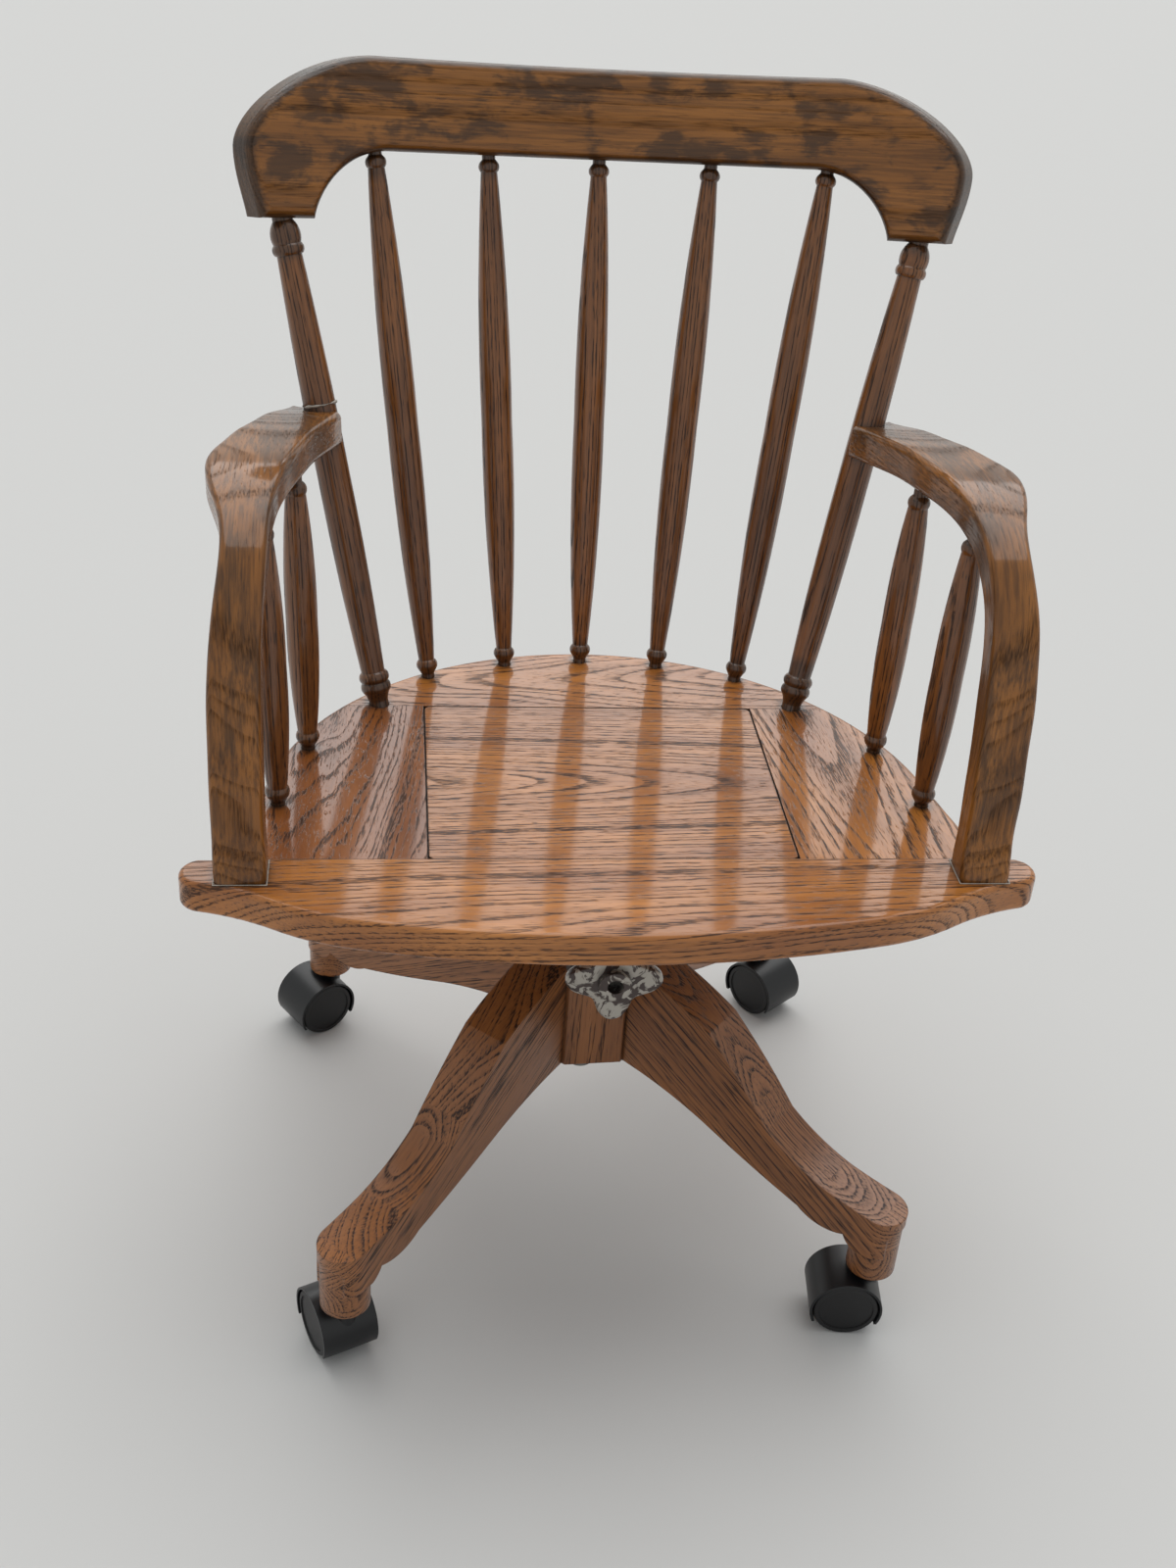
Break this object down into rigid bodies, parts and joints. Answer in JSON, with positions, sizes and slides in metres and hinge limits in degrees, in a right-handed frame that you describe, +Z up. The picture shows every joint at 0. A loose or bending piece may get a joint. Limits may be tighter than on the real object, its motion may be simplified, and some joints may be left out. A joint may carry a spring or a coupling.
{
  "type": "bankers swivel chair",
  "caption": "Wooden office armchair with a spindle back and bent arms on a saddleless board seat, with spring tilt, screw height adjustment and a wooden pedestal on twin-wheel casters.",
  "frame": {"origin": "on the floor under the middle of the whole chair's bounding box; the swivel axis stands 38 mm in front of it", "axes": "+Z up, +Y towards the back of the chair, +X to the right as seen from the front, which is the sitter's left"},
  "size_m": [0.6562, 0.583, 0.9164],
  "materials": {
    "oak_seat": "stained oak under gloss lacquer",
    "oak_back": "stained oak under gloss lacquer",
    "oak_arm": "stained oak under gloss lacquer",
    "oak_base": "stained oak under satin lacquer",
    "beech_dowel": "bare",
    "steel": "zinc plated",
    "black_steel": "satin black paint",
    "spring_steel": "oiled",
    "cast_knob": "mottled grey and dark brown",
    "black_rubber": "matt",
    "black_plastic": "satin moulded"
  },
  "bodies": {
    "pedestal": {"pedestal_hub": "oak_base", "hub_sleeve": "steel", "leg_dowels": "beech_dowel", "caster_sockets": "steel", "leg_front_left": "oak_base", "leg_front_right": "oak_base", "leg_back_left": "oak_base", "leg_back_right": "oak_base"},
    "turntable": {"thrust_washer": "steel"},
    "nut": {"height_nut": "steel"},
    "column": {"height_screw": "steel", "tilt_housing": "black_steel", "tilt_pin": "steel", "tilt_bumper": "black_rubber", "tension_spring": "spring_steel"},
    "cup": {"spring_cup": "black_steel"},
    "tension": {"tension_screw": "steel", "tension_knob": "cast_knob"},
    "chair": {"seat_front_rail": "oak_seat", "seat_back_rail": "oak_seat", "seat_left_rail": "oak_seat", "seat_right_rail": "oak_seat", "seat_center_panel": "oak_seat", "seat_plate": "black_steel", "seat_plate_screws": "steel", "arm_screws": "steel", "arm_left": "oak_arm", "arm_right": "oak_arm", "crest_rail": "oak_back", "back_post_left": "oak_back", "back_post_right": "oak_back", "back_spindle_1": "oak_back", "back_spindle_2": "oak_back", "back_spindle_3": "oak_back", "back_spindle_4": "oak_back", "back_spindle_5": "oak_back", "arm_spindle_left_front": "oak_arm", "arm_spindle_left_rear": "oak_arm", "arm_spindle_right_front": "oak_arm", "arm_spindle_right_rear": "oak_arm"},
    "caster_front_left": {"caster_front_left_stem": "steel", "caster_front_left_hood": "black_plastic", "caster_front_left_axle": "steel"},
    "caster_front_left_left": {"caster_front_left_wheel_left": "black_plastic"},
    "caster_front_left_right": {"caster_front_left_wheel_right": "black_plastic"},
    "caster_front_right": {"caster_front_right_stem": "steel", "caster_front_right_hood": "black_plastic", "caster_front_right_axle": "steel"},
    "caster_front_right_left": {"caster_front_right_wheel_left": "black_plastic"},
    "caster_front_right_right": {"caster_front_right_wheel_right": "black_plastic"},
    "caster_back_left": {"caster_back_left_stem": "steel", "caster_back_left_hood": "black_plastic", "caster_back_left_axle": "steel"},
    "caster_back_left_left": {"caster_back_left_wheel_left": "black_plastic"},
    "caster_back_left_right": {"caster_back_left_wheel_right": "black_plastic"},
    "caster_back_right": {"caster_back_right_stem": "steel", "caster_back_right_hood": "black_plastic", "caster_back_right_axle": "steel"},
    "caster_back_right_left": {"caster_back_right_wheel_left": "black_plastic"},
    "caster_back_right_right": {"caster_back_right_wheel_right": "black_plastic"}
  },
  "joints": [
    {"name": "seat_swivel", "type": "hinge", "parent": "pedestal", "child": "turntable", "pos_m": [0, -0.038, 0.2665], "axis": [0, 0, 1], "continuous": true},
    {"name": "seat_height", "type": "slide", "parent": "turntable", "child": "column", "axis": [0, 0, 1], "range_m": [0, 0.08]},
    {"name": "height_nut_turn", "type": "hinge", "parent": "turntable", "child": "nut", "pos_m": [0, -0.038, 0.277], "axis": [0, 0, -1], "range_deg": [0, 4810]},
    {"name": "seat_tilt", "type": "hinge", "parent": "column", "child": "chair", "pos_m": [0, -0.034, 0.366], "axis": [-1, 0, 0], "range_deg": [0, 12], "stiffness_Nm_per_rad": 26, "springref_deg": -20.05, "deforming": ["tension_spring"]},
    {"name": "tension_slide", "type": "slide", "parent": "column", "child": "cup", "axis": [0, 1, 0], "range_m": [0, 0.008], "deforming": ["tension_spring"]},
    {"name": "tension_turn", "type": "hinge", "parent": "cup", "child": "tension", "pos_m": [0, -0.158, 0.33], "axis": [0, 1, 0], "range_deg": [0, 1656]},
    {"name": "caster_front_left_swivel", "type": "hinge", "parent": "pedestal", "child": "caster_front_left", "pos_m": [-0.20663, -0.2691, 0.0615], "axis": [0, 0, 1], "continuous": true},
    {"name": "caster_front_left_roll_left", "type": "hinge", "parent": "caster_front_left", "child": "caster_front_left_left", "pos_m": [-0.21395, -0.25265, 0.0275], "axis": [-0.9135, -0.4067, 0], "continuous": true},
    {"name": "caster_front_left_roll_right", "type": "hinge", "parent": "caster_front_left", "child": "caster_front_left_right", "pos_m": [-0.21395, -0.25265, 0.0275], "axis": [-0.9135, -0.4067, 0], "continuous": true},
    {"name": "caster_front_right_swivel", "type": "hinge", "parent": "pedestal", "child": "caster_front_right", "pos_m": [0.2311, -0.24463, 0.0615], "axis": [0, 0, 1], "continuous": true},
    {"name": "caster_front_right_roll_left", "type": "hinge", "parent": "caster_front_right", "child": "caster_front_right_left", "pos_m": [0.2132, -0.24274, 0.0275], "axis": [-0.1045, -0.9945, 0], "continuous": true},
    {"name": "caster_front_right_roll_right", "type": "hinge", "parent": "caster_front_right", "child": "caster_front_right_right", "pos_m": [0.2132, -0.24274, 0.0275], "axis": [-0.1045, -0.9945, 0], "continuous": true},
    {"name": "caster_back_left_swivel", "type": "hinge", "parent": "pedestal", "child": "caster_back_left", "pos_m": [-0.2311, 0.16862, 0.0615], "axis": [0, 0, 1], "continuous": true},
    {"name": "caster_back_left_roll_left", "type": "hinge", "parent": "caster_back_left", "child": "caster_back_left_left", "pos_m": [-0.24602, 0.15856, 0.0275], "axis": [0.5592, -0.829, 0], "continuous": true},
    {"name": "caster_back_left_roll_right", "type": "hinge", "parent": "caster_back_left", "child": "caster_back_left_right", "pos_m": [-0.24602, 0.15856, 0.0275], "axis": [0.5592, -0.829, 0], "continuous": true},
    {"name": "caster_back_right_swivel", "type": "hinge", "parent": "pedestal", "child": "caster_back_right", "pos_m": [0.20663, 0.1931, 0.0615], "axis": [0, 0, 1], "continuous": true},
    {"name": "caster_back_right_roll_left", "type": "hinge", "parent": "caster_back_right", "child": "caster_back_right_left", "pos_m": [0.21771, 0.17891, 0.0275], "axis": [0.788, 0.6157, 0], "continuous": true},
    {"name": "caster_back_right_roll_right", "type": "hinge", "parent": "caster_back_right", "child": "caster_back_right_right", "pos_m": [0.21771, 0.17891, 0.0275], "axis": [0.788, 0.6157, 0], "continuous": true}
  ],
  "couplings": [
    {"joint": "height_nut_turn", "follows": "seat_height", "rad_per_m": 1047.2},
    {"joint": "tension_turn", "follows": "tension_slide", "rad_per_m": 3590.4}
  ]
}
